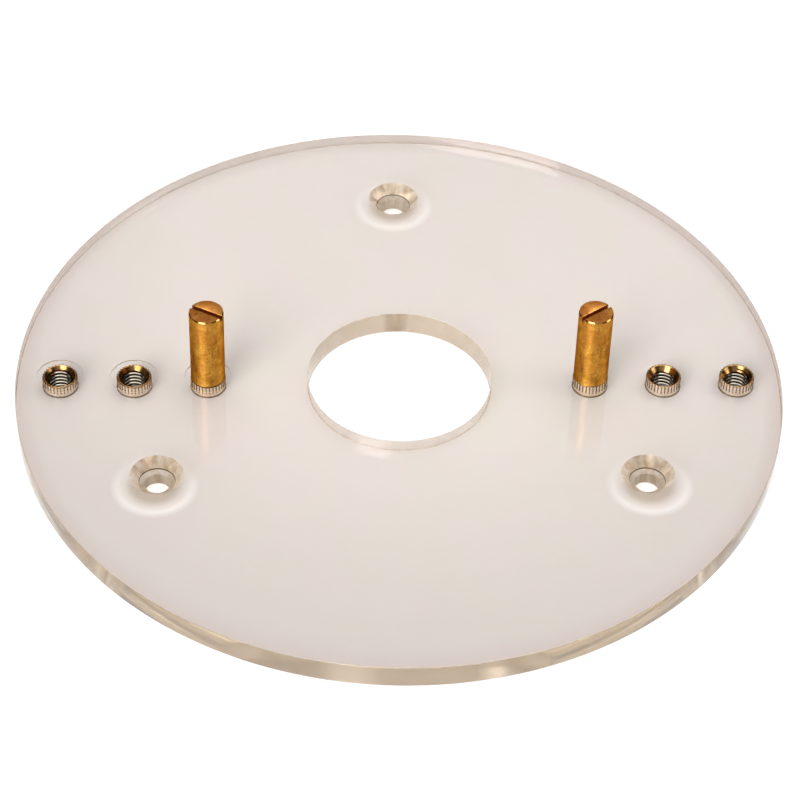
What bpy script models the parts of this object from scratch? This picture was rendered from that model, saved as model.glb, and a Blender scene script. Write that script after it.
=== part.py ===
# Mortise centering router base: a clear round base plate that takes the place of a router's own.
# Two brass pins stand on its working face, one on each side of the cutter. They screw into knurled
# threaded inserts, so a pair of pins can be set close together or far apart to suit the wood.
# Units are metres. The plate lies on its router face at z = 0, the inserts stand in a row along X.

import math

import bmesh
import bpy

# Base plate: a disc of clear cast plastic
plate_diameter = 0.178
plate_thickness = 0.0058
plate_edge_chamfer = 0.00025
centre_hole_diameter = 0.0426
centre_hole_chamfer = 0.0002

# Screw holes: a countersink, then the cone of a drill point, then a clear bore
screw_hole_count = 3
screw_circle_diameter = 0.1276
first_screw_angle = math.radians(90)
screw_mouth_diameter = 0.0121
screw_step_diameter = 0.0083
screw_bore_diameter = 0.0058
countersink_angle = math.radians(82)
drill_point_angle = math.radians(118)

# Threaded inserts: straight knurl above, smooth pilot below, countersunk mouth
outer_insert_inset = 0.0102
insert_spacing = 0.01715
insert_diameter = 0.0082
insert_recess = 0.0003
insert_edge_chamfer = 0.0003
insert_lip_width = 0.0007
insert_mouth_depth = 0.0007
insert_wall = 0.0016
pilot_length = 0.0017
pilot_step = 0.00002
knurl_teeth = 30
knurl_depth = 0.00023
knurl_groove_width = 0.0004
knurl_margin = 0.0001

# Spot face on the working face, which only the insert holes on the left have
spot_face_diameter = 0.0109
spot_face_depth = 0.00045

# Guide pins: a slotted cylinder on a stud that carries the thread
pin_diameter = 0.00795
pin_height = 0.0202
pin_edge_chamfer = 0.00025
stud_end_chamfer = 0.0005
stud_end_gap = 0.0006
slot_width = 0.001
slot_depth = 0.0012
left_slot_angle = math.radians(-28)
right_slot_angle = math.radians(35)

# Clearances between pieces, and how far a cutter runs past the face that it cuts
insert_hole_clearance = 0.0001
stud_clearance = 0.0001
shoulder_gap = 0.00005
cut_overrun = 0.001

# Facets
plate_facets = 144
centre_hole_facets = 96
screw_hole_facets = 40
insert_hole_facets = 40
insert_facets = 48
pin_facets = 48
merge_distance = 0.000001
smooth_angle = math.radians(30)

# Row of inserts, from the rim inwards
insert_places = ("outer", "middle", "inner")


def empty_scene():
    for old_object in list(bpy.data.objects):
        bpy.data.objects.remove(old_object)


def new_collection(name):
    collection = bpy.data.collections.new(name)
    bpy.context.scene.collection.children.link(collection)
    return collection


def principled(name, colour, roughness, metallic):
    material = bpy.data.materials.new(name)
    material.use_nodes = True
    material.diffuse_color = colour
    shader = material.node_tree.nodes["Principled BSDF"]
    shader.inputs["Base Color"].default_value = colour
    shader.inputs["Roughness"].default_value = roughness
    shader.inputs["Metallic"].default_value = metallic
    return material


def clear_plastic():
    refractive_index = 1.49
    material = principled("clear_plastic", (0.93, 0.89, 0.85, 1), 0.03, 0)
    shader = material.node_tree.nodes["Principled BSDF"]
    shader.inputs["IOR"].default_value = refractive_index
    shader.inputs["Transmission Weight"].default_value = 1
    return material


def insert_brass():
    return principled("insert_brass", (0.72, 0.47, 0.18, 1), 0.28, 1)


def pin_brass():
    return principled("pin_brass", (0.66, 0.4, 0.12, 1), 0.36, 1)


def object_from_bmesh(name, shape, collection):
    mesh = bpy.data.meshes.new(name)
    shape.to_mesh(mesh)
    shape.free()
    new_object = bpy.data.objects.new(name, mesh)
    collection.objects.link(new_object)
    return new_object


def turned(name, profile, facets, collection, closed):
    """Turn a profile of (radius, height) points about Z. It runs down its outer side."""
    shape = bmesh.new()
    points = [shape.verts.new((radius, 0, height)) for radius, height in profile]
    for start, end in zip(points, points[1:]):
        shape.edges.new((start, end))
    if closed:
        shape.edges.new((points[-1], points[0]))
    new_object = object_from_bmesh(name, shape, collection)
    screw = new_object.modifiers.new("Turn", "SCREW")
    screw.steps = facets
    screw.render_steps = facets
    screw.use_merge_vertices = True
    screw.merge_threshold = merge_distance
    return new_object


def as_cutter(cutter):
    cutter.hide_render = True
    cutter.display_type = "WIRE"
    return cutter


def boolean(target, cutter, operation):
    modifier = target.modifiers.new(cutter.name, "BOOLEAN")
    modifier.operation = operation
    modifier.solver = "EXACT"
    modifier.object = cutter


def evaluated_mesh(name, source):
    """The mesh that an object's modifiers make, kept as a mesh of its own."""
    bpy.context.view_layer.update()
    graph = bpy.context.evaluated_depsgraph_get()
    mesh = bpy.data.meshes.new_from_object(source.evaluated_get(graph))
    mesh.name = name
    return mesh


def shade_round(mesh):
    mesh.shade_smooth()
    mesh.set_sharp_from_angle(angle=smooth_angle)


def finish(part, material):
    part.data.materials.clear()
    part.data.materials.append(material)


def plate_blank(collection):
    shape = bmesh.new()
    bmesh.ops.create_cone(
        shape,
        cap_ends=True,
        segments=plate_facets,
        radius1=plate_diameter / 2,
        radius2=plate_diameter / 2,
        depth=plate_thickness,
    )
    bmesh.ops.translate(shape, verts=shape.verts, vec=(0, 0, plate_thickness / 2))
    plate = object_from_bmesh("base_plate", shape, collection)
    bevel = plate.modifiers.new("Rim", "BEVEL")
    bevel.width = plate_edge_chamfer
    bevel.segments = 1
    bevel.limit_method = "ANGLE"
    bevel.angle_limit = smooth_angle
    return plate


def centre_hole_cutter(collection):
    """A bore with a small chamfer at each face of the plate, run on past both faces at 45 degrees."""
    bore = centre_hole_diameter / 2
    flare = bore + centre_hole_chamfer + cut_overrun
    top = plate_thickness + cut_overrun
    profile = [
        (0, top),
        (flare, top),
        (bore, plate_thickness - centre_hole_chamfer),
        (bore, centre_hole_chamfer),
        (flare, -cut_overrun),
        (0, -cut_overrun),
    ]
    return as_cutter(turned("centre_hole", profile, centre_hole_facets, collection, closed=False))


def screw_hole_cutter(name, collection):
    mouth = screw_mouth_diameter / 2
    step = screw_step_diameter / 2
    bore = screw_bore_diameter / 2
    cone_slope = math.tan(countersink_angle / 2)
    point_slope = math.tan(drill_point_angle / 2)
    step_height = plate_thickness - (mouth - step) / cone_slope
    bore_height = step_height - (step - bore) / point_slope
    top = plate_thickness + cut_overrun
    profile = [
        (0, top),
        (mouth + cut_overrun * cone_slope, top),
        (step, step_height),
        (bore, bore_height),
        (bore, -cut_overrun),
        (0, -cut_overrun),
    ]
    return as_cutter(turned(name, profile, screw_hole_facets, collection, closed=False))


def pilot_radius():
    return insert_diameter / 2 - knurl_depth - pilot_step


def knurl_bottom():
    return insert_recess + pilot_length


def insert_hole_cutter(name, has_spot_face, collection):
    """Wide where the knurl bites, narrow round the pilot, so the knurl's shoulder has a seat."""
    facet_share = 1 / math.cos(math.pi / insert_hole_facets)
    wide = (insert_diameter / 2 + insert_hole_clearance) * facet_share
    narrow = (pilot_radius() + insert_hole_clearance) * facet_share
    top = plate_thickness + cut_overrun
    seat = knurl_bottom() - shoulder_gap
    mouth = [(0, top), (wide, top)]
    if has_spot_face:
        spot_face = spot_face_diameter / 2
        floor = plate_thickness - spot_face_depth
        mouth = [(0, top), (spot_face, top), (spot_face, floor), (wide, floor)]
    profile = mouth + [(wide, seat), (narrow, seat), (narrow, -cut_overrun), (0, -cut_overrun)]
    return as_cutter(turned(name, profile, insert_hole_facets, collection, closed=False))


def insert_distance(index):
    """How far an insert's axis is from the plate's centre, counted from the rim inwards."""
    return plate_diameter / 2 - outer_insert_inset - index * insert_spacing


def insert_positions():
    """Each insert's name and its place along X."""
    positions = []
    for side, direction in (("left", -1), ("right", 1)):
        for index, place in enumerate(insert_places):
            positions.append((f"insert_{side}_{place}", direction * insert_distance(index)))
    return positions


def build_plate(parts, cutters):
    plate = plate_blank(parts)
    boolean(plate, centre_hole_cutter(cutters), "DIFFERENCE")
    for index in range(screw_hole_count):
        angle = first_screw_angle + index * math.tau / screw_hole_count
        cutter = screw_hole_cutter(f"screw_hole_{index}", cutters)
        cutter.location.x = math.cos(angle) * screw_circle_diameter / 2
        cutter.location.y = math.sin(angle) * screw_circle_diameter / 2
        boolean(plate, cutter, "DIFFERENCE")
    for name, place in insert_positions():
        cutter = insert_hole_cutter(f"hole_for_{name}", place < 0, cutters)
        cutter.location.x = place
        boolean(plate, cutter, "DIFFERENCE")
    shade_round(plate.data)
    finish(plate, clear_plastic())
    return plate


def insert_bore_radius():
    return insert_diameter / 2 - insert_wall


def insert_blank(collection):
    """The turned insert before its knurl is cut: shoulder, pilot, bore and countersunk mouth."""
    crest = insert_diameter / 2
    pilot = pilot_radius()
    bore = insert_bore_radius()
    mouth = crest - insert_lip_width
    top = plate_thickness
    bottom = insert_recess
    profile = [
        (crest - insert_edge_chamfer, top),
        (crest, top - insert_edge_chamfer),
        (crest, knurl_bottom()),
        (pilot, knurl_bottom()),
        (pilot, bottom + insert_edge_chamfer),
        (pilot - insert_edge_chamfer, bottom),
        (bore, bottom),
        (bore, top - insert_mouth_depth),
        (mouth, top),
    ]
    return turned("insert_blank", profile, insert_facets, collection, closed=True)


def knurl_outline():
    """A star with one straight-sided groove to each tooth, a little larger than the blank."""
    crest = insert_diameter / 2
    root = crest - knurl_depth
    rim = crest + knurl_margin
    half_width = knurl_groove_width / 2 * (rim - root) / knurl_depth
    half_angle = half_width / rim
    tooth_angle = math.tau / knurl_teeth
    points = []
    for tooth in range(knurl_teeth):
        groove = tooth * tooth_angle
        points.append((root, groove))
        points.append((rim, groove + half_angle))
        points.append((rim, groove + tooth_angle - half_angle))
    return [(radius * math.cos(angle), radius * math.sin(angle)) for radius, angle in points]


def knurl_cutter(collection):
    """The star outline as a prism as tall as the plate and its overruns."""
    outline = knurl_outline()
    curve = bpy.data.curves.new("knurl_outline", "CURVE")
    curve.dimensions = "2D"
    curve.fill_mode = "BOTH"
    curve.extrude = plate_thickness / 2 + cut_overrun
    spline = curve.splines.new("POLY")
    spline.points.add(len(outline) - 1)
    for point, (x, y) in zip(spline.points, outline):
        point.co = (x, y, 0, 1)
    spline.use_cyclic_u = True
    flat = bpy.data.objects.new("knurl_outline", curve)
    collection.objects.link(flat)
    mesh = evaluated_mesh("knurl", flat)
    bpy.data.objects.remove(flat)
    shape = bmesh.new()
    shape.from_mesh(mesh)
    bmesh.ops.remove_doubles(shape, verts=shape.verts, dist=merge_distance)
    bmesh.ops.recalc_face_normals(shape, faces=shape.faces)
    cutter = object_from_bmesh("knurl", shape, collection)
    cutter.location.z = plate_thickness / 2
    return as_cutter(cutter)


def build_inserts(parts, cutters):
    blank = as_cutter(insert_blank(cutters))
    boolean(blank, knurl_cutter(cutters), "INTERSECT")
    mesh = evaluated_mesh("threaded_insert", blank)
    shade_round(mesh)
    brass = insert_brass()
    inserts = []
    for name, place in insert_positions():
        insert = bpy.data.objects.new(name, mesh)
        insert.location.x = place
        parts.objects.link(insert)
        finish(insert, brass)
        inserts.append(insert)
    return inserts


def pin_blank(name, collection):
    """A pin turned about its own axis. Its origin is on that axis, level with the plate's top."""
    body = pin_diameter / 2
    stud = insert_bore_radius() - stud_clearance
    stud_end = stud_end_gap - plate_thickness
    profile = [
        (0, pin_height),
        (body - pin_edge_chamfer, pin_height),
        (body, pin_height - pin_edge_chamfer),
        (body, shoulder_gap),
        (stud, shoulder_gap),
        (stud, stud_end + stud_end_chamfer),
        (stud - stud_end_chamfer, stud_end),
        (0, stud_end),
    ]
    return turned(name, profile, pin_facets, collection, closed=False)


def slot_cutter(name, collection):
    """A bar across the pin's end that leaves the screwdriver slot."""
    length = pin_diameter + 2 * cut_overrun
    height = slot_depth + cut_overrun
    shape = bmesh.new()
    bmesh.ops.create_cube(shape, size=1)
    bmesh.ops.scale(shape, vec=(length, slot_width, height), verts=shape.verts)
    return as_cutter(object_from_bmesh(name, shape, collection))


def build_pin(side, place, slot_angle, parts, cutters):
    pin = pin_blank(f"guide_pin_{side}", parts)
    pin.location = (place, 0, plate_thickness)
    cutter = slot_cutter(f"slot_{side}", cutters)
    cutter.location = (place, 0, plate_thickness + pin_height + (cut_overrun - slot_depth) / 2)
    cutter.rotation_euler.z = slot_angle
    boolean(pin, cutter, "DIFFERENCE")
    shade_round(pin.data)
    finish(pin, pin_brass())
    return pin


def build():
    empty_scene()
    parts = new_collection("mortise_centering_router_base")
    cutters = new_collection("cutters")
    build_plate(parts, cutters)
    build_inserts(parts, cutters)
    pin_distance = insert_distance(insert_places.index("inner"))
    build_pin("left", -pin_distance, left_slot_angle, parts, cutters)
    build_pin("right", pin_distance, right_slot_angle, parts, cutters)


build()
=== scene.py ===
import math

import bmesh
import bpy
from mathutils import Matrix, Vector


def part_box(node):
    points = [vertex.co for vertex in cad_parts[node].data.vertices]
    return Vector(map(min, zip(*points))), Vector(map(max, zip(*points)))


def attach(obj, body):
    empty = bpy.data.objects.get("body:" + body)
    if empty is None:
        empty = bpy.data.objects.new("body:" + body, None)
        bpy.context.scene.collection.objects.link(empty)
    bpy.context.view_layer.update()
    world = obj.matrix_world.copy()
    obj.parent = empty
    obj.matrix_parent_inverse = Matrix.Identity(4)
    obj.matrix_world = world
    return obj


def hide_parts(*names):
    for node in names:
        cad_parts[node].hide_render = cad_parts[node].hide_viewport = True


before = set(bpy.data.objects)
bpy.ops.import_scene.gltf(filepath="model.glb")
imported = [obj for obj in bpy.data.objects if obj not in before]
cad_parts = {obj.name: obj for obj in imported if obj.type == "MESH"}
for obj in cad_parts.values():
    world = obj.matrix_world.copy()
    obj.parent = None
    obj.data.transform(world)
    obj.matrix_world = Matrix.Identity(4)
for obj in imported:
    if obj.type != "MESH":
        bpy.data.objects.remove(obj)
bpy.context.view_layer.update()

# Base plate. The real one is a disc of clear cast plastic, sawn out and turned at its rim.
# The router's spindle looks through its middle hole. Three countersunk holes take the router's
# own screws, and six straight holes in a row hold the threaded inserts.

plate_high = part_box("base_plate")[1]
plate_radius = plate_high[0]
plate_top = plate_high[2]
plate_edge_round = 0.00022
middle_hole_radius = 0.0213
middle_hole_edge_round = 0.00018
screw_circle_radius = 0.0638
screw_hole_angles = (90, 210, 330)
screw_mouth_radius = 0.00605
screw_step_radius = 0.00415
screw_bore_radius = 0.0029
screw_cone_angle = 41
drill_cone_angle = 59
burr_width = 0.0001
burr_depth = 0.0003
insert_row = {
    "insert_left_outer": -0.0788,
    "insert_left_middle": -0.06165,
    "insert_left_inner": -0.0445,
    "insert_right_inner": 0.0445,
    "insert_right_middle": 0.06165,
    "insert_right_outer": 0.0788,
}
insert_hole_radius = 0.0039
insert_hole_foot = 0.0003
spot_face_radius = 0.00545
spot_face_depth = 0.00025
rim_corners = 720
middle_hole_corners = 360
small_hole_corners = 180
plate_sharp_angle = 26

# A finish is how far a wall looks turned, cut and darkened by painted shade. The two flat faces are none of
# these.
# A wall that is cut by more than 1 lets still less light through.
turned_rim = (1, 0, 0)
bored_middle = (0.2, 0.62, 0)
countersunk = (0, 1, 0)
# The third share is painted shade: the holes' steps and feet, and the screw holes' depths.
burr = (0, 1, 0.95)
drill_shoulder = (0, 1, 0.45)
screw_bore = (0, 1.3, 0.38)
insert_bore = (0, 1.3, 0)
spot_floor = (0, 0.05, 0)
spot_side = (0, 1.9, 0)

face_tints = ((0.746, 0.667, 0.636, 1), (0.728, 0.676, 0.615, 1))
face_tint_far_out = (0.583, 0.529, 0.493, 1)
palest_place = (0.008, 0.04, 0.003)
palest_reach = (0.06, 0.13)
rim_shade = (0.55, 0.455, 0.425, 1)
rim_shade_reach = (0.0845, 0.0895)
rim_shade_share = 0.8
rim_tints = ((0.53, 0.43, 0.315, 1), (0.69, 0.585, 0.455, 1))
cut_tints = ((0.58, 0.43, 0.29, 1), (0.88, 0.745, 0.60, 1))
cut_tint_inside = (0.74, 0.51, 0.28, 1)
# Painted shade for the dark in the holes' steps, feet and bores.
painted_recess_shade = (0.06, 0.03, 0.01, 1)

# Light that the countersinks gather below the plate: a shade round each screw hole and a bright
# ring round the shade. Both are on the plate's lower face, and the ring is brightest at its front.
screw_shade = (0.46, 0.375, 0.295, 1)
screw_shade_reach = (0.0048, 0.0063)
ring_light = (1, 0.98, 0.98, 1)
ring_starts = (0.0060, 0.0082)
ring_ends = (0.0085, 0.0102)
ring_offset = 0.0007
ring_front_step = 0.001
ring_front_reach = (-0.0006, 0.0008)
ring_back_share = 0.25
lower_face_reach = (0.0001, 0.0002)

# A span is the part of a soft pattern, which runs from 0 to 1, over which a look comes in.
face_drift_scale = 70
face_drift_span = (0.35, 0.65)
lathe_mark_scale = (60, 60, 2500)
lathe_mark_span = (0.3, 0.7)
lathe_mark_strength = 0.15
lathe_mark_depth = 0.00002
cut_grain_scale = (900, 900, 160)
cut_grain_tint_span = (0.34, 0.66)
cut_grain_rough_span = (0.3, 0.7)
hairline_scale = (60, 3000, 60)
hairline_turn = 0.6
hairline_span = (0.66, 0.74)
polished_rough = (0.0, 0.06)
turned_rough = (0.05, 0.11)
cut_rough = (0.285, 0.365)
turned_clearness = 0.8
cut_clearness_reach = (0.3, 2.05)
plastic_bending = 1.49
sheet_tint = (0.68, 0.57, 0.44, 1)
sheet_tint_density = 4.5
light_past_cuts = (0.74, 0.69, 0.61, 1)


def round_edge(outer, inner, height, level, steps=4):
    """Section points of a rounded edge, from the flat's side to the wall's."""
    points = []
    for step in range(steps + 1):
        angle = step / steps * math.pi / 2
        points.append((
            inner + (outer - inner) * math.sin(angle),
            level + (height - level) * (1 - math.cos(angle)),
        ))
    return points


def turn_section(shape, section, count, centre=(0, 0)):
    """Turns a section of radius and height pairs about an upright axis. Returns the rows of corners."""
    rows = []
    for radius, height in section:
        row = []
        for index in range(count):
            angle = index / count * math.tau
            row.append(shape.verts.new((
                centre[0] + radius * math.cos(angle),
                centre[1] + radius * math.sin(angle),
                height,
            )))
        rows.append(row)
    return rows


def skin_rows(shape, rows, finish):
    """Joins each row of corners to the next with smooth faces that share one finish."""
    layer = shape.faces.layers.float_vector["finish"]
    for lower, upper in zip(rows, rows[1:]):
        for index in range(len(lower)):
            after = (index + 1) % len(lower)
            face = shape.faces.new((lower[index], lower[after], upper[after], upper[index]))
            face.smooth = True
            face[layer] = finish


def row_edges(shape, row):
    return [shape.edges.get((row[index - 1], row[index])) for index in range(len(row))]


def piece_from_shape(name, shape, materials):
    """A named object at the origin with its place in its mesh."""
    mesh = bpy.data.meshes.new(name)
    shape.to_mesh(mesh)
    shape.free()
    for material in materials:
        mesh.materials.append(material)
    piece = bpy.data.objects.new(name, mesh)
    bpy.context.scene.collection.objects.link(piece)
    return piece


def wire(links, value, socket):
    """Gives a socket a plain value, or links another node's result to it."""
    if isinstance(value, bpy.types.NodeSocket):
        links.new(value, socket)
    else:
        socket.default_value = value


def new_material(name):
    """A material with its shader and a function that adds a node to it. That function takes an
    input by its name, or as n and its number where the node has more than one of that name."""
    material = bpy.data.materials.new(name)
    material.use_nodes = True
    nodes = material.node_tree.nodes

    def add(kind, settings=None, **inputs):
        node = nodes.new(kind)
        for setting, value in (settings or {}).items():
            setattr(node, setting, value)
        for label, value in inputs.items():
            numbered = label[0] == "n" and label[1:].isdigit()
            socket = node.inputs[int(label[1:]) if numbered else label.replace("_", " ")]
            wire(material.node_tree.links, value, socket)
        return node

    return material, nodes["Principled BSDF"], add


def blend_colours(add, share, first, second):
    """A colour between two others. Either of them may be another node's colour."""
    return add("ShaderNodeMix", {"data_type": "RGBA"}, n0=share, n6=first, n7=second).outputs[2]


def blend_numbers(add, share, first, second):
    return add("ShaderNodeMix", {"data_type": "FLOAT"}, n0=share, n2=first, n3=second).outputs[0]


def ranged(add, value, low, high, start=0.0, end=1.0):
    """A number that goes from start to end while the value goes from low to high."""
    limits = {"From_Min": low, "From_Max": high, "To_Min": start, "To_Max": end}
    return add("ShaderNodeMapRange", Value=value, **limits).outputs[0]


def reckon(add, operation, first, second):
    """A sum, product or the like of two numbers. Either may be another node's number."""
    return add("ShaderNodeMath", {"operation": operation}, n0=first, n1=second).outputs[0]


def distance(add, place, point):
    return add("ShaderNodeVectorMath", {"operation": "DISTANCE"}, n0=place, n1=point).outputs["Value"]


def noise(add, place, scale, detail, roughness=0.5):
    """A soft random pattern between 0 and 1."""
    pattern = add("ShaderNodeTexNoise", Vector=place, Scale=scale, Detail=detail, Roughness=roughness)
    return pattern.outputs["Fac"]


def stretched(add, place, scale, turn=0.0):
    """The same place on stretched axes, so that a pattern on it runs long in one direction."""
    kind = {"vector_type": "POINT"}
    return add("ShaderNodeMapping", kind, Vector=place, Rotation=(0, 0, turn), Scale=scale).outputs[0]


def gathered_light(add, place, faces):
    """Adds the bright rings and the shades round the screw holes to the colour of the flat faces."""

    def from_screw_holes(shift):
        """The distance from the nearest ring's axis, once all three are moved along the plate."""
        nearest = None
        for angle in screw_hole_angles:
            centre = (
                (screw_circle_radius + ring_offset) * math.cos(math.radians(angle)),
                (screw_circle_radius + ring_offset) * math.sin(math.radians(angle)) + shift,
                0,
            )
            away = distance(add, place, centre)
            nearest = reckon(add, "MINIMUM", away, nearest) if nearest else away
        return nearest

    nearest = from_screw_holes(0)
    frontness = reckon(add, "SUBTRACT", from_screw_holes(ring_front_step), nearest)
    front_share = ranged(add, frontness, *ring_front_reach, ring_back_share, 1.0)
    height = add("ShaderNodeSeparateXYZ", Vector=place).outputs[2]
    under = ranged(add, height, *lower_face_reach, 1.0, 0.0)
    lit = reckon(add, "MULTIPLY", under, front_share)
    lit_faces = faces
    for tint, masked, reach, start, end in (
        (ring_light, lit, ring_starts, 0.0, 1.0),
        (faces, under, ring_ends, 0.0, 1.0),
        (screw_shade, under, screw_shade_reach, 1.0, 0.0),
    ):
        share = reckon(add, "MULTIPLY", masked, ranged(add, nearest, *reach, start, end))
        lit_faces = blend_colours(add, share, lit_faces, tint)
    return lit_faces


def clear_plastic():
    """One sheet of plastic. Its faces are polished, its rim turned, its countersinks cut dull."""
    material, shader, add = new_material("clear_plastic")
    links = material.node_tree.links
    output = material.node_tree.nodes["Material Output"]
    place = add("ShaderNodeTexCoord").outputs["Object"]
    finish = add("ShaderNodeAttribute", {"attribute_name": "finish"}).outputs["Vector"]
    turned, cut, painted_shade = add("ShaderNodeSeparateXYZ", Vector=finish).outputs

    drift = noise(add, place, face_drift_scale, 2)
    faces = blend_colours(add, ranged(add, drift, *face_drift_span), *face_tints)
    from_palest = ranged(add, distance(add, place, palest_place), *palest_reach)
    faces = blend_colours(add, from_palest, faces, face_tint_far_out)
    outwards = add("ShaderNodeVectorMath", {"operation": "LENGTH"}, n0=place).outputs["Value"]
    near_rim = ranged(add, outwards, *rim_shade_reach, 0.0, rim_shade_share)
    faces = blend_colours(add, near_rim, faces, rim_shade)
    faces = gathered_light(add, place, faces)

    lathe_marks = noise(add, stretched(add, place, lathe_mark_scale), 1, 3)
    rim = blend_colours(add, lathe_marks, *rim_tints)
    grain = noise(add, stretched(add, place, cut_grain_scale), 1, 2)
    walls = blend_colours(add, ranged(add, grain, *cut_grain_tint_span), *cut_tints)
    inside = add("ShaderNodeNewGeometry").outputs["Backfacing"]
    walls = blend_colours(add, inside, walls, cut_tint_inside)
    colour = blend_colours(add, turned, faces, rim)
    colour = blend_colours(add, cut, colour, walls)
    # Painted shade in the holes.
    colour = blend_colours(add, painted_shade, colour, painted_recess_shade)
    links.new(colour, shader.inputs["Base Color"])

    hairlines = noise(add, stretched(add, place, hairline_scale, hairline_turn), 1, 3)
    rough = ranged(add, hairlines, *hairline_span, *polished_rough)
    rim_rough = ranged(add, lathe_marks, *lathe_mark_span, *turned_rough)
    rough = blend_numbers(add, turned, rough, rim_rough)
    wall_rough = ranged(add, grain, *cut_grain_rough_span, *cut_rough)
    rough = blend_numbers(add, cut, rough, wall_rough)
    links.new(rough, shader.inputs["Roughness"])
    marks = reckon(add, "MULTIPLY", lathe_marks, turned)
    bump = add("ShaderNodeBump", Strength=lathe_mark_strength, Distance=lathe_mark_depth, Height=marks)
    links.new(bump.outputs[0], shader.inputs["Normal"])
    past_cut = ranged(add, cut, *cut_clearness_reach, 1.0, 0.0)
    past_turned = ranged(add, turned, 0.0, 1.0, 1.0, turned_clearness)
    links.new(reckon(add, "MULTIPLY", past_cut, past_turned), shader.inputs["Transmission Weight"])
    shader.inputs["IOR"].default_value = plastic_bending

    tinted = add("ShaderNodeVolumeAbsorption", Color=sheet_tint, Density=sheet_tint_density)
    links.new(tinted.outputs[0], output.inputs["Volume"])
    rays = add("ShaderNodeLightPath").outputs
    unbent = reckon(add, "MAXIMUM", rays["Is Shadow Ray"], rays["Is Diffuse Ray"])
    passed = blend_colours(add, cut, (1, 1, 1, 1), light_past_cuts)
    clear = add("ShaderNodeBsdfTransparent", Color=passed)
    mixed = add("ShaderNodeMixShader", n0=unbent, n1=shader.outputs[0], n2=clear.outputs[0])
    links.new(mixed.outputs[0], output.inputs["Surface"])
    return material


def make_plate():
    shape = bmesh.new()
    shape.faces.layers.float_vector.new("finish")
    flats = {0.0: [], plate_top: []}

    def wall(section, count, centre, finishes):
        """One wall of the plate, from its router face up. Its end rows bound the two flat faces."""
        rows = turn_section(shape, section, count, centre)
        for lower, upper, finish in zip(rows, rows[1:], finishes):
            skin_rows(shape, (lower, upper), finish)
        flats[0.0] += row_edges(shape, rows[0])
        flats[plate_top] += row_edges(shape, rows[-1])

    for radius, edge_round, way_to_flat, count, finish in (
        (plate_radius, plate_edge_round, -1, rim_corners, turned_rim),
        (middle_hole_radius, middle_hole_edge_round, 1, middle_hole_corners, bored_middle),
    ):
        section = round_edge(radius, radius + way_to_flat * edge_round, edge_round, 0.0)
        section += [(point, plate_top - height) for point, height in reversed(section)]
        wall(section, count, (0, 0), [finish] * len(section))

    cone_slope = math.tan(math.radians(screw_cone_angle))
    drill_slope = math.tan(math.radians(drill_cone_angle))
    step = plate_top - (screw_mouth_radius - screw_step_radius) / cone_slope
    shoulder = step - (screw_step_radius - screw_bore_radius) / drill_slope
    screw_hole = [
        (screw_bore_radius, 0.0),
        (screw_bore_radius, shoulder),
        (screw_step_radius - burr_width, step - burr_depth),
        (screw_step_radius, step),
        (screw_mouth_radius, plate_top),
    ]
    for angle in screw_hole_angles:
        centre = (
            screw_circle_radius * math.cos(math.radians(angle)),
            screw_circle_radius * math.sin(math.radians(angle)),
        )
        wall(screw_hole, small_hole_corners, centre, [screw_bore, drill_shoulder, burr, countersunk])

    floor_level = plate_top - spot_face_depth
    for place in insert_row.values():
        hole = [(insert_hole_radius + insert_hole_foot, 0.0), (insert_hole_radius, insert_hole_foot)]
        if place < 0:
            hole.append((insert_hole_radius, floor_level))
            hole.append((spot_face_radius, floor_level))
            hole.append((spot_face_radius, plate_top))
        else:
            hole.append((insert_hole_radius, plate_top))
        wall(hole, small_hole_corners, (place, 0), [burr, insert_bore, spot_floor, spot_side])

    for edges in flats.values():
        bmesh.ops.triangle_fill(shape, edges=edges, use_beauty=True)
    for face in shape.faces:
        if len({round(corner.co.z, 9) for corner in face.verts}) == 1:
            face.smooth = False
    bmesh.ops.recalc_face_normals(shape, faces=shape.faces)
    for edge in shape.edges:
        if len(edge.link_faces) == 2 and edge.calc_face_angle(0) > math.radians(plate_sharp_angle):
            edge.smooth = False
    return piece_from_shape("clear_base_plate", shape, [clear_plastic()])


plate = make_plate()
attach(plate, "base")
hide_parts("base_plate")

# Threaded inserts. Each is turned from brass rod, knurled straight round its upper part and
# tapped right through. It is pressed into its hole until its countersunk mouth is level with
# the plate, so the knurl's crests bite into the plastic.

insert_crest_radius = 0.0041
insert_knurl_depth = 0.00024
insert_knurl_teeth = 30
insert_pilot_radius = 0.00385
insert_low = 0.0003
insert_foot_chamfer = 0.0002
insert_knurl_low = 0.002
insert_lip_width = 0.00035
insert_lip_drop = 0.00012
insert_foot_radius = 0.00265
insert_mouth_radius = 0.0036
insert_sharp_angle = 50
insert_turns = {
    "insert_left_outer": 0.1,
    "insert_left_middle": 0.4,
    "insert_left_inner": 0.0,
    "insert_right_inner": 0.0,
    "insert_right_middle": 0.65,
    "insert_right_outer": 0.8,
}
thread_pitch = 0.001
thread_crest_radius = 0.0025
thread_depth = 0.0005

# A turn of the thread and a tooth of the knurl each go from 0 to 1, with a crest at both ends.
# Their flanks are given as shares of the way from the middle to an end.
thread_steps = (0.0, 0.08, 0.125, 0.2, 0.27, 0.35, 0.4137, 0.5, 0.5863, 0.65, 0.73, 0.8, 0.875, 0.92)
thread_flank_top = 0.75
thread_flank_width = 0.5774
tooth_steps = (-0.05, 0.0, 0.05, 0.21, 0.5, 0.79)
tooth_crest_edge = 0.1
tooth_flank_width = 0.32
off_thread = -99
seam_gap = 0.000002
least_corner_gap = 0.00001
least_edge = 0.0000005

insert_bright = (0.70, 0.44, 0.165, 1)
insert_dull = (0.30, 0.13, 0.04, 1)
insert_rough = 0.21
rubbed_crest = (0.36, 0.32, 0.26, 1)
rubbed_rough = 0.10
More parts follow.
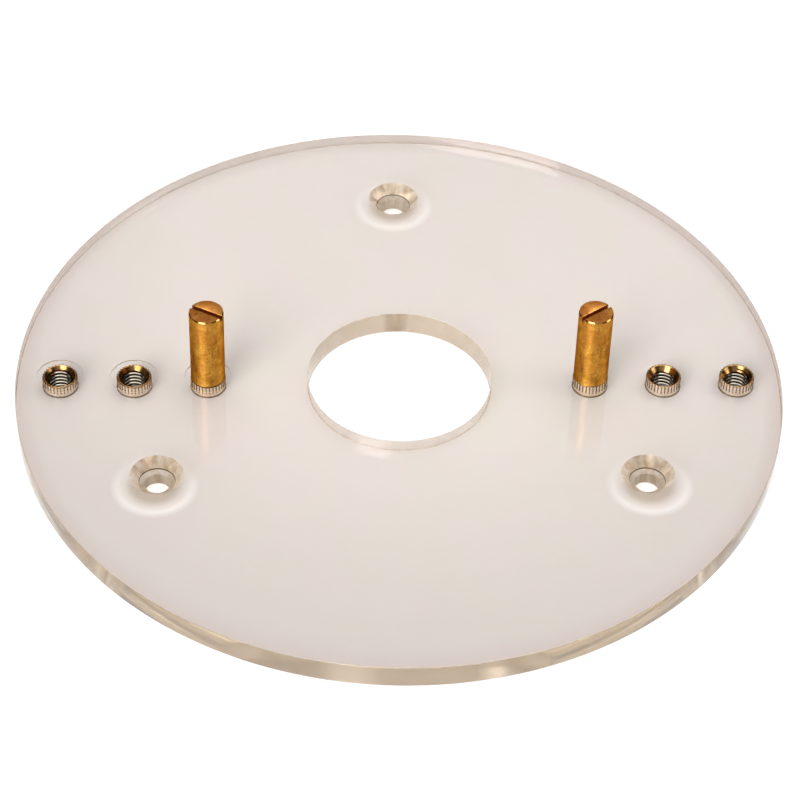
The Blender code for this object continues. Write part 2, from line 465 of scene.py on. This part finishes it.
# Painted shade in the thread's grooves, from these depths below the crest.
groove_painted_shade = (0.03, 0.013, 0.006, 1)
groove_shade_depths = (0.00015, 0.00021)
below_mouth_reach = (0.00002, 0.00006)
bore_reach = (0.0031, 0.0032)
# The knurled band is darker than the rest of the insert.
knurl_darkening = (0.13, 0.055, 0.015, 1)
knurl_darkening_blend = 0.00006
knurl_crest = (0.52, 0.32, 0.12, 1)
knurl_crest_depths = (0.0001, 0.00004)
knurl_crest_share = 0.7

# Each pattern on the brass has a scale, a detail and a roughness of its own, then its span.
tarnish_pattern = (320, 5, 0.62)
tarnish_span = (0.36, 0.66)
patch_pattern = (170, 3, 0.6)
patch_span = (0.46, 0.60)
patch_share = 0.65
patch_tone = (0.75, 0.52, 0.5)
stain_scale = (650, 650, 120)
stain_span = (0.62, 0.72)
stain_share = 0.6
brass_stain = (0.20, 0.06, 0.015, 1)
speck_pattern = (1900, 4, 0.65)
speck_span = (0.50, 0.66)
speck_share = 0.6
speck_tone = (0.5, 0.42, 0.4)
lathe_line_pattern = (9000, 3, 0.6)
lathe_line_strength = 0.35
lathe_line_depth = 0.00001
rough_where_dull = 1.35
rough_where_bright = 0.7


def toned(colour, red, green, blue):
    """A colour with each of its three parts made weaker."""
    return (colour[0] * red, colour[1] * green, colour[2] * blue, 1)


def brass(name, bright, dull, roughness):
    """Bare turned brass: lathe lines round it, a drifting tarnish, upright stains and dark specks.
    Returns the material, its shader, its adder, its colour, its roughness, its radius and height."""
    material, shader, add = new_material(name)
    links = material.node_tree.links
    place = add("ShaderNodeAttribute", {"attribute_name": "own_place"}).outputs["Vector"]
    across, along, height = add("ShaderNodeSeparateXYZ", Vector=place).outputs
    flat = add("ShaderNodeCombineXYZ", X=across, Y=along).outputs[0]
    radius = add("ShaderNodeVectorMath", {"operation": "LENGTH"}, n0=flat).outputs["Value"]

    tarnish = noise(add, place, *tarnish_pattern)
    colour = blend_colours(add, ranged(add, tarnish, *tarnish_span), dull, bright)
    patches = ranged(add, noise(add, place, *patch_pattern), *patch_span, 0.0, patch_share)
    colour = blend_colours(add, patches, colour, toned(bright, *patch_tone))
    stains = noise(add, stretched(add, place, stain_scale), 1, 2)
    stains = ranged(add, stains, *stain_span, 0.0, stain_share)
    colour = blend_colours(add, stains, colour, brass_stain)
    specks = ranged(add, noise(add, place, *speck_pattern), *speck_span, 0.0, speck_share)
    colour = blend_colours(add, specks, colour, toned(dull, *speck_tone))
    links.new(colour, shader.inputs["Base Color"])

    shader.inputs["Metallic"].default_value = 1
    rough = ranged(add, tarnish, 0.0, 1.0, roughness * rough_where_dull, roughness * rough_where_bright)
    links.new(rough, shader.inputs["Roughness"])
    turned = add("ShaderNodeCombineXYZ", X=radius, Y=height).outputs[0]
    lines = noise(add, turned, *lathe_line_pattern)
    bump = add("ShaderNodeBump", Strength=lathe_line_strength, Distance=lathe_line_depth, Height=lines)
    links.new(bump.outputs[0], shader.inputs["Normal"])
    return material, shader, add, colour, rough, radius, height


def insert_brass():
    """Rubbed bright on its thread crests, with painted shade in the thread's grooves, and darker where the
    knurl bites.
    """
    material, shader, add, colour, rough, radius, height = brass(
        "insert_brass", insert_bright, insert_dull, insert_rough)
    links = material.node_tree.links
    cone = insert_mouth_radius - plate_top
    below_mouth = reckon(add, "SUBTRACT", radius, height)
    below_mouth = ranged(add, below_mouth, *(cone + depth for depth in below_mouth_reach))
    in_groove = ranged(add, radius, *(thread_crest_radius + depth for depth in groove_shade_depths))
    inside = reckon(add, "MULTIPLY", below_mouth, ranged(add, radius, *bore_reach, 1.0, 0.0))
    # Painted shade in the thread's grooves below the mouth; the rest of the bore is rubbed.
    painted_shade = reckon(add, "MULTIPLY", inside, in_groove)
    rubbed = reckon(add, "SUBTRACT", inside, painted_shade)
    colour = blend_colours(add, rubbed, colour, rubbed_crest)
    colour = blend_colours(add, painted_shade, colour, groove_painted_shade)
    lip_edge = insert_crest_radius - insert_lip_width
    knurled = ranged(add, radius, lip_edge, lip_edge + knurl_darkening_blend)
    colour = blend_colours(add, knurled, colour, knurl_darkening)
    crest = (insert_crest_radius - depth for depth in knurl_crest_depths)
    colour = blend_colours(add, ranged(add, radius, *crest, 0.0, knurl_crest_share), colour, knurl_crest)
    links.new(colour, shader.inputs["Base Color"])
    links.new(blend_numbers(add, rubbed, rough, rubbed_rough), shader.inputs["Roughness"])
    return material


def node_math(tree, operation, *values):
    """A sum, product or the like in a node tree. Any value may be another node's number."""
    node = tree.nodes.new("ShaderNodeMath")
    node.operation = operation
    for socket, value in zip(node.inputs, values):
        wire(tree.links, value, socket)
    return node.outputs[0]


def between(tree, value, low, high):
    """The value, held between two limits."""
    return node_math(tree, "MINIMUM", node_math(tree, "MAXIMUM", value, low), high)


def from_middle(tree, share):
    """How far a share is from its middle: 0 at a half, 1 at either end."""
    away = node_math(tree, "ABSOLUTE", node_math(tree, "SUBTRACT", share, 0.5))
    return node_math(tree, "MULTIPLY", away, 2.0)


def named_number(tree, name):
    """A number that is stored with each corner of the blank."""
    node = tree.nodes.new("GeometryNodeInputNamedAttribute")
    node.data_type = "FLOAT"
    node.inputs["Name"].default_value = name
    return node.outputs["Attribute"]


def new_tree(name, sizes):
    """An empty node tree that takes a blank, some named sizes and a material, and gives a mesh.
    Returns the tree and its inputs by name."""
    tree = bpy.data.node_groups.new(name, "GeometryNodeTree")
    tree.interface.new_socket("Geometry", in_out="INPUT", socket_type="NodeSocketGeometry")
    for label in sizes:
        tree.interface.new_socket(label, in_out="INPUT", socket_type="NodeSocketFloat")
    tree.interface.new_socket("Material", in_out="INPUT", socket_type="NodeSocketMaterial")
    tree.interface.new_socket("Geometry", in_out="OUTPUT", socket_type="NodeSocketGeometry")
    return tree, {socket.name: socket for socket in tree.nodes.new("NodeGroupInput").outputs}


def thread_groove(tree, sockets):
    """A corner's height along the thread, and how deep the groove is there: from 0 on a crest to 1."""
    turn = named_number(tree, "turn_share")
    turns = node_math(tree, "ADD", named_number(tree, "thread_row"), turn)
    rise = node_math(tree, "MULTIPLY", turns, sockets["Pitch"])
    height = between(tree, node_math(tree, "ADD", rise, sockets["Low"]), sockets["Low"], sockets["High"])
    level = node_math(tree, "DIVIDE", node_math(tree, "SUBTRACT", height, sockets["Low"]), sockets["Pitch"])
    spare_turns = 8.0
    phase = node_math(tree, "ADD", node_math(tree, "SUBTRACT", level, turn), spare_turns)
    away = from_middle(tree, node_math(tree, "FRACT", phase))
    groove = node_math(tree, "SUBTRACT", thread_flank_top, away)
    groove = between(tree, node_math(tree, "DIVIDE", groove, thread_flank_width), 0.0, 1.0)
    return height, groove


def by_thread(tree, plain, threaded):
    """The first number off the thread and the second on it."""
    node = tree.nodes.new("GeometryNodeSwitch")
    node.input_type = "FLOAT"
    on_thread = node_math(tree, "GREATER_THAN", named_number(tree, "thread_row"), off_thread / 2)
    for label, value in (("Switch", on_thread), ("False", plain), ("True", threaded)):
        tree.links.new(value, node.inputs[label])
    return node.outputs[0]


def finish_tree(tree, sockets, radius, height):
    """Puts each corner at its radius, its height and its share of a turn, closes the seam, keeps
    each corner's own place and sets the material."""
    links = tree.links
    angle = node_math(tree, "MULTIPLY", named_number(tree, "turn_share"), math.tau)
    moved = tree.nodes.new("ShaderNodeCombineXYZ")
    links.new(node_math(tree, "MULTIPLY", radius, node_math(tree, "COSINE", angle)), moved.inputs[0])
    links.new(node_math(tree, "MULTIPLY", radius, node_math(tree, "SINE", angle)), moved.inputs[1])
    links.new(height, moved.inputs[2])
    place = tree.nodes.new("GeometryNodeSetPosition")
    links.new(sockets["Geometry"], place.inputs["Geometry"])
    links.new(moved.outputs[0], place.inputs["Position"])
    weld = tree.nodes.new("GeometryNodeMergeByDistance")
    weld.inputs["Distance"].default_value = seam_gap
    links.new(place.outputs[0], weld.inputs["Geometry"])
    store = tree.nodes.new("GeometryNodeStoreNamedAttribute")
    store.data_type = "FLOAT_VECTOR"
    store.domain = "POINT"
    store.inputs["Name"].default_value = "own_place"
    links.new(tree.nodes.new("GeometryNodeInputPosition").outputs[0], store.inputs["Value"])
    links.new(weld.outputs[0], store.inputs["Geometry"])
    real = tree.nodes.new("GeometryNodeRealizeInstances")
    links.new(store.outputs[0], real.inputs[0])
    painted = tree.nodes.new("GeometryNodeSetMaterial")
    links.new(real.outputs[0], painted.inputs["Geometry"])
    links.new(sockets["Material"], painted.inputs["Material"])
    links.new(painted.outputs[0], tree.nodes.new("NodeGroupOutput").inputs[0])


def insert_tree():
    """Cuts the knurl and the thread into an insert's plain blank."""
    tree, sockets = new_tree("knurled_and_threaded_insert", (
        "Pitch", "Crest Radius", "Thread Depth", "Low", "High", "Mouth Radius", "Foot Radius",
        "Knurl Radius", "Knurl Depth", "Teeth"))
    height, groove = thread_groove(tree, sockets)
    depth = node_math(tree, "MULTIPLY", groove, sockets["Thread Depth"])
    threaded = node_math(tree, "ADD", sockets["Crest Radius"], depth)
    below_top = node_math(tree, "SUBTRACT", sockets["High"], height)
    mouth = node_math(tree, "SUBTRACT", sockets["Mouth Radius"], below_top)
    above_foot = node_math(tree, "SUBTRACT", height, sockets["Low"])
    foot = node_math(tree, "SUBTRACT", sockets["Foot Radius"], above_foot)
    bore = node_math(tree, "MAXIMUM", node_math(tree, "MAXIMUM", threaded, mouth), foot)

    teeth = node_math(tree, "MULTIPLY", named_number(tree, "turn_share"), sockets["Teeth"])
    tooth = node_math(tree, "FRACT", node_math(tree, "ADD", teeth, 0.5))
    notch = node_math(tree, "SUBTRACT", from_middle(tree, tooth), tooth_crest_edge)
    notch = between(tree, node_math(tree, "DIVIDE", notch, tooth_flank_width), 0.0, 1.0)
    depth = node_math(tree, "MULTIPLY", notch, sockets["Knurl Depth"])
    crest = node_math(tree, "SUBTRACT", sockets["Knurl Radius"], depth)
    outer = node_math(tree, "MINIMUM", named_number(tree, "own_radius"), crest)

    radius = by_thread(tree, outer, bore)
    finish_tree(tree, sockets, radius, by_thread(tree, named_number(tree, "own_height"), height))
    return tree


def blank_grid(name, section, turns):
    """A blank as an open grid: each section row is a radius, a height and its thread row."""
    mesh = bpy.data.meshes.new(name)
    across = len(turns)
    corners = []
    faces = []
    for radius, height, _ in section:
        for turn in turns:
            corners.append((radius * math.cos(turn * math.tau), radius * math.sin(turn * math.tau), height))
    for row in range(len(section) - 1):
        for column in range(across - 1):
            first = row * across + column
            faces.append((first, first + 1, first + across + 1, first + across))
    mesh.from_pydata(corners, [], faces)
    for label, values in (
        ("turn_share", [turn for _ in section for turn in turns]),
        ("own_radius", [radius for radius, _, _ in section for _ in turns]),
        ("own_height", [height for _, height, _ in section for _ in turns]),
        ("thread_row", [row for _, _, row in section for _ in turns]),
    ):
        stored = mesh.attributes.new(label, "FLOAT", "POINT")
        stored.data.foreach_set("value", values)
    blank = bpy.data.objects.new(name, mesh)
    bpy.context.scene.collection.objects.link(blank)
    return blank


def thread_rows(radius, length):
    """The section rows that a thread takes, from one turn below its foot to one above its top."""
    top = math.ceil(length / thread_pitch)
    rows = [(radius, 0, whole + step) for whole in range(-1, top) for step in thread_steps]
    return rows + [(radius, 0, top)]


def plain_mesh(piece):
    """The piece's mesh with its modifiers applied."""
    graph = bpy.context.evaluated_depsgraph_get()
    finished = piece.evaluated_get(graph)
    return bpy.data.meshes.new_from_object(finished, preserve_all_data_layers=True, depsgraph=graph)


def drop_slivers(shape, corner_gap, edge_length):
    """Merges corners that are too close and takes out the faces without area."""
    bmesh.ops.remove_doubles(shape, verts=shape.verts, dist=corner_gap)
    bmesh.ops.dissolve_degenerate(shape, edges=shape.edges, dist=edge_length)


def cut_blank(blank, tree, values, sharp_angle):
    """Runs the tree on the blank and returns a plain mesh. The blank goes."""
    cut = blank.modifiers.new("cut", "NODES")
    cut.node_group = tree
    for item in tree.interface.items_tree:
        if item.item_type == "SOCKET" and item.in_out == "INPUT" and item.name in values:
            cut[item.identifier] = values[item.name]
    bpy.context.view_layer.update()
    mesh = plain_mesh(blank)
    bpy.data.objects.remove(blank)
    shape = bmesh.new()
    shape.from_mesh(mesh)
    drop_slivers(shape, least_corner_gap, least_edge)
    bmesh.ops.recalc_face_normals(shape, faces=shape.faces)
    for face in shape.faces:
        face.smooth = True
    for edge in shape.edges:
        if len(edge.link_faces) != 2 or edge.calc_face_angle(0) > math.radians(sharp_angle):
            edge.smooth = False
    shape.to_mesh(mesh)
    shape.free()
    return mesh


def make_insert_mesh():
    rows = [
        (insert_crest_radius - insert_lip_width, plate_top, off_thread),
        (insert_crest_radius, plate_top - insert_lip_drop, off_thread),
        (insert_crest_radius, insert_knurl_low, off_thread),
        (insert_pilot_radius, insert_knurl_low, off_thread),
        (insert_pilot_radius, insert_low + insert_foot_chamfer, off_thread),
        (insert_pilot_radius - insert_foot_chamfer, insert_low, off_thread),
    ]
    rows += thread_rows(thread_crest_radius, plate_top - insert_low)
    rows.append(rows[0])
    turns = {0.0, 1.0, 1 + tooth_steps[0] / insert_knurl_teeth}
    for tooth in range(insert_knurl_teeth):
        turns |= {(tooth + step) / insert_knurl_teeth for step in tooth_steps if tooth + step >= 0}
    blank = blank_grid("insert_blank", rows, sorted(turns))
    values = {
        "Pitch": thread_pitch,
        "Crest Radius": thread_crest_radius,
        "Thread Depth": thread_depth,
        "Low": insert_low,
        "High": plate_top,
        "Mouth Radius": insert_mouth_radius,
        "Foot Radius": insert_foot_radius,
        "Knurl Radius": insert_crest_radius,
        "Knurl Depth": insert_knurl_depth,
        "Teeth": float(insert_knurl_teeth),
        "Material": insert_brass(),
    }
    return cut_blank(blank, insert_tree(), values, insert_sharp_angle)


insert_mesh = make_insert_mesh()
for name, place in insert_row.items():
    mesh = insert_mesh.copy()
    mesh.transform(Matrix.Rotation(insert_turns[name] * math.tau, 4, "Z"))
    mesh.transform(Matrix.Translation((place, 0, 0)))
    insert = bpy.data.objects.new(name.replace("insert", "threaded_insert"), mesh)
    bpy.context.scene.collection.objects.link(insert)
    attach(insert, "base")
    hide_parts(name)

# Guide pins. Each is turned from brass rod with a threaded stud below its shoulder and a
# screwdriver slot sawn across its end. The two screw into the inner pair of inserts.

pin_radius = 0.003975
pin_top = plate_top + 0.0202
pin_shoulder = plate_top + 0.00005
pin_shoulder_chamfer = 0.00015
pin_edge_chamfer = 0.0002
pin_side_rows = 8
pin_corners = 120
pin_sharp_angle = 32
pin_slot_width = 0.001
pin_slot_depth = 0.0012
pin_slot_angles = {"left": -28, "right": 35}
saw_length = 0.012
softened_width = 0.00005
softened_angle = 70
least_softened_gap = 0.000002
least_softened_edge = 0.000001
stud_low = 0.0006
stud_thread_radius = 0.00292
stud_tip_radius = 0.0023

turned_tints = ((0.93, 0.50, 0.095, 1), (0.63, 0.27, 0.034, 1))
# The slot's sawn faces: their darker tone is painted shade in the slot.
sawn_shaded_tints = ((0.55, 0.20, 0.05, 1), (0.26, 0.075, 0.016, 1))
faced_tints = ((0.78, 0.36, 0.085, 1), (0.50, 0.17, 0.034, 1))
edge_tints = ((0.95, 0.55, 0.20, 1), (0.80, 0.40, 0.12, 1))
grazing_tint = (0.35, 0.20, 0.10, 1)
quarter_turn = 0.25
chamfer_slope = 0.3
level_slope = 0.95


def stud_tree():
    """Cuts the thread into a stud's plain blank."""
    tree, sockets = new_tree("threaded_stud", (
        "Pitch", "Thread Radius", "Thread Depth", "Low", "High", "Tip Radius"))
    height, groove = thread_groove(tree, sockets)
    ridge = node_math(tree, "SUBTRACT", 1.0, groove)
    depth = node_math(tree, "MULTIPLY", ridge, sockets["Thread Depth"])
    threaded = node_math(tree, "SUBTRACT", sockets["Thread Radius"], depth)
    above_foot = node_math(tree, "SUBTRACT", height, sockets["Low"])
    tip = node_math(tree, "ADD", sockets["Tip Radius"], above_foot)
    threaded = node_math(tree, "MINIMUM", threaded, tip)
    radius = by_thread(tree, named_number(tree, "own_radius"), threaded)
    finish_tree(tree, sockets, radius, by_thread(tree, named_number(tree, "own_height"), height))
    return tree


def make_pin_mesh(tree, material):
    rows = [(0.0, stud_low, off_thread)]
    rows += thread_rows(0.0, pin_shoulder - stud_low)
    rows.append((pin_radius - pin_shoulder_chamfer, pin_shoulder, off_thread))
    rows.append((pin_radius, pin_shoulder + pin_shoulder_chamfer, off_thread))
    for step in range(1, pin_side_rows):
        rows.append((pin_radius, pin_shoulder + step / pin_side_rows * (pin_top - pin_shoulder), off_thread))
    rows.append((pin_radius, pin_top - pin_edge_chamfer, off_thread))
    rows.append((pin_radius - pin_edge_chamfer, pin_top, off_thread))
    rows.append((0.0, pin_top, off_thread))
    turns = [index / pin_corners for index in range(pin_corners + 1)]
    values = {
        "Pitch": thread_pitch,
        "Thread Radius": stud_thread_radius,
        "Thread Depth": thread_depth,
        "Low": stud_low,
        "High": pin_shoulder,
        "Tip Radius": stud_tip_radius,
        "Material": material,
    }
    return cut_blank(blank_grid("pin_blank", rows, turns), tree, values, pin_sharp_angle)


def pin_brass(name, tints, roughness, spread):
    """Lathe lines spread the light up and down a pin's side, so its shine runs along it."""
    material, shader = brass(name, *tints, roughness)[:2]
    shader.inputs["Anisotropic"].default_value = spread
    shader.inputs["Anisotropic Rotation"].default_value = quarter_turn
    shader.inputs["Specular Tint"].default_value = grazing_tint
    return material


def slot_saw(angle, material):
    """A block as wide as the slot, turned to its angle and half sunk into the pin's end."""
    shape = bmesh.new()
    bmesh.ops.create_cube(shape, size=1)
    bmesh.ops.scale(shape, vec=(saw_length, pin_slot_width, 2 * pin_slot_depth), verts=shape.verts)
    turn = Matrix.Rotation(math.radians(angle), 3, "Z")
    bmesh.ops.rotate(shape, cent=(0, 0, 0), matrix=turn, verts=shape.verts)
    bmesh.ops.translate(shape, vec=(0, 0, pin_top), verts=shape.verts)
    return piece_from_shape("slot_saw", shape, [material])


def saw_slot(pin, saw):
    """Takes the saw's block out of the pin, then softens the sharpest edges. The saw goes."""
    slot = pin.modifiers.new("slot", "BOOLEAN")
    slot.object = saw
    slot.operation = "DIFFERENCE"
    slot.solver = "EXACT"
    slot.material_mode = "TRANSFER"
    soften = pin.modifiers.new("soften", "BEVEL")
    soften.limit_method = "ANGLE"
    soften.angle_limit = math.radians(softened_angle)
    soften.width = softened_width
    soften.segments = 2
    soften.use_clamp_overlap = False
    pin_mesh = plain_mesh(pin)
    pin.modifiers.clear()
    pin.data = pin_mesh
    bpy.data.objects.remove(saw)
    shape = bmesh.new()
    shape.from_mesh(pin_mesh)
    drop_slivers(shape, least_softened_gap, least_softened_edge)
    shape.to_mesh(pin_mesh)
    shape.free()


def paint_pin_end(mesh, flat_material, chamfer_material):
    """Gives the sawn end and its chamfer their own finishes, and each corner its own place."""
    mesh.materials.append(flat_material)
    mesh.materials.append(chamfer_material)
    for face in mesh.polygons:
        if face.normal.z > chamfer_slope and face.center.z > pin_top - pin_edge_chamfer:
            face.material_index = len(mesh.materials) - (2 if face.normal.z > level_slope else 1)
    own_place = mesh.attributes["own_place"]
    for vertex in mesh.vertices:
        own_place.data[vertex.index].vector = vertex.co


stud_thread = stud_tree()
turned_brass = pin_brass("pin_brass", turned_tints, roughness=0.42, spread=0.85)
# The slot is rougher, and darkened by painted shade.
sawn_brass_shaded = pin_brass("sawn_brass_shaded", sawn_shaded_tints, roughness=0.5, spread=0.0)
faced_brass = pin_brass("faced_brass", faced_tints, roughness=0.26, spread=0.0)
edge_brass = pin_brass("edge_brass", edge_tints, roughness=0.12, spread=0.0)
for side, slot_angle in pin_slot_angles.items():
    pin = bpy.data.objects.new(f"slotted_guide_pin_{side}", make_pin_mesh(stud_thread, turned_brass))
    bpy.context.scene.collection.objects.link(pin)
    saw_slot(pin, slot_saw(slot_angle, sawn_brass_shaded))
    paint_pin_end(pin.data, faced_brass, edge_brass)
    pin.data.transform(Matrix.Translation((insert_row[f"insert_{side}_inner"], 0, 0)))
    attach(pin, f"{side}_pin")
    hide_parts(f"guide_pin_{side}")

# Studio: a sheet of white paper under the plate, in a dim room that is bright overhead. One large
# soft lamp stands at the front left and a weak one at the right.

paper_gap = 0.0002
paper_half_width = 3
paper_tints = ((0.91, 0.91, 0.91, 1), (0.93, 0.93, 0.93, 1))
paper_fibre_scale = 900
room_levels = (
    (0.0, 0.03), (0.09, 0.03), (0.13, 0.20), (0.31, 0.20), (0.345, 1.0),
    (0.60, 1.0), (0.63, 0.12), (0.85, 0.10), (1.0, 0.03),
)
room_strength = 3.1
left_to_right = {"low": -0.2, "high": 0.25, "start": 0.72, "end": 1.1}
past_the_sides = {"low": 0.40, "high": 0.50, "start": 1.0, "end": 0.05}
lamp_distance = 1.5
lamps = (
    ("soft_lamp", (-0.3886, -0.6053, 0.6947), 0.75, 1.1, 15.6),
    ("side_lamp", (0.85, -0.10, 0.52), 0.5, 0.8, 3),
)
camera_lens = 129.145
camera_sensor = 36
camera_reach = (0.05, 20)
camera_place = (-0.022524, -0.482011, 0.467427)
camera_aim = (0.000157, -0.002077, 0)
camera_roll = 1.844
light_bounces = 40


def white_paper():
    material, shader, add = new_material("white_paper")
    place = add("ShaderNodeTexCoord").outputs["Object"]
    tone = blend_colours(add, noise(add, place, paper_fibre_scale, 4), *paper_tints)
    material.node_tree.links.new(tone, shader.inputs["Base Color"])
    shader.inputs["Roughness"].default_value = 1
    shader.inputs["Specular IOR Level"].default_value = 0
    return material


floor_shape = bmesh.new()
bmesh.ops.create_grid(floor_shape, x_segments=8, y_segments=8, size=paper_half_width)
bmesh.ops.translate(floor_shape, vec=(0, 0, -paper_gap), verts=floor_shape.verts)
floor = piece_from_shape("paper_floor", floor_shape, [white_paper()])

world = bpy.data.worlds.new("studio")
bpy.context.scene.world = world
world.use_nodes = True
sky = world.node_tree


def sky_node(kind, operation, *values):
    node = sky.nodes.new(kind)
    if operation:
        node.operation = operation
    for socket, value in zip(node.inputs, values):
        wire(sky.links, value, socket)
    return node.outputs


way = sky_node("ShaderNodeSeparateXYZ", None, sky.nodes.new("ShaderNodeTexCoord").outputs["Generated"])
turn_up = sky_node("ShaderNodeMath", "ARCTAN2", way[2], way[1])[0]
share_up = sky_node("ShaderNodeMath", "DIVIDE", turn_up, math.pi)[0]
ramp = sky.nodes.new("ShaderNodeValToRGB")
sky.links.new(share_up, ramp.inputs[0])
while len(ramp.color_ramp.elements) < len(room_levels):
    ramp.color_ramp.elements.new(0.5)
for element, (position, level) in zip(ramp.color_ramp.elements, room_levels):
    element.position = position
    element.color = (level, level, level, 1)
across = sky_node("ShaderNodeMapRange", None, way[0], *left_to_right.values())[0]
aside = sky_node("ShaderNodeMath", "ABSOLUTE", way[0])[0]
sides = sky_node("ShaderNodeMapRange", None, aside, *past_the_sides.values())[0]
strength = sky_node("ShaderNodeMath", "MULTIPLY", across, sides)[0]
strength = sky_node("ShaderNodeMath", "MULTIPLY", strength, room_strength)[0]
sky.links.new(ramp.outputs[0], sky.nodes["Background"].inputs["Color"])
sky.links.new(strength, sky.nodes["Background"].inputs["Strength"])

for name, way_to_lamp, width, tall, power in lamps:
    lamp_way = Vector(way_to_lamp).normalized()
    lamp_light = bpy.data.lights.new(name, "AREA")
    lamp_light.shape = "RECTANGLE"
    lamp_light.size = width
    lamp_light.size_y = tall
    lamp_light.energy = power
    lamp = bpy.data.objects.new(name, lamp_light)
    lamp.location = lamp_way * lamp_distance
    lamp.rotation_mode = "QUATERNION"
    lamp.rotation_quaternion = lamp_way.to_track_quat("Z", "Y")
    bpy.context.scene.collection.objects.link(lamp)

camera_data = bpy.data.cameras.new("camera")
camera_data.lens = camera_lens
camera_data.sensor_width = camera_sensor
camera_data.clip_start, camera_data.clip_end = camera_reach
camera = bpy.data.objects.new("camera", camera_data)
camera_way = Vector(camera_aim) - Vector(camera_place)
level_view = camera_way.to_track_quat("-Z", "Y").to_matrix().to_4x4()
rolled = Matrix.Rotation(math.radians(camera_roll), 4, "Z")
camera.matrix_world = Matrix.Translation(camera_place) @ level_view @ rolled
bpy.context.scene.collection.objects.link(camera)
bpy.context.scene.camera = camera
bpy.context.scene.view_settings.view_transform = "Standard"
cycles = bpy.context.scene.cycles
cycles.max_bounces = light_bounces
cycles.glossy_bounces = light_bounces
cycles.transmission_bounces = light_bounces
cycles.transparent_max_bounces = light_bounces
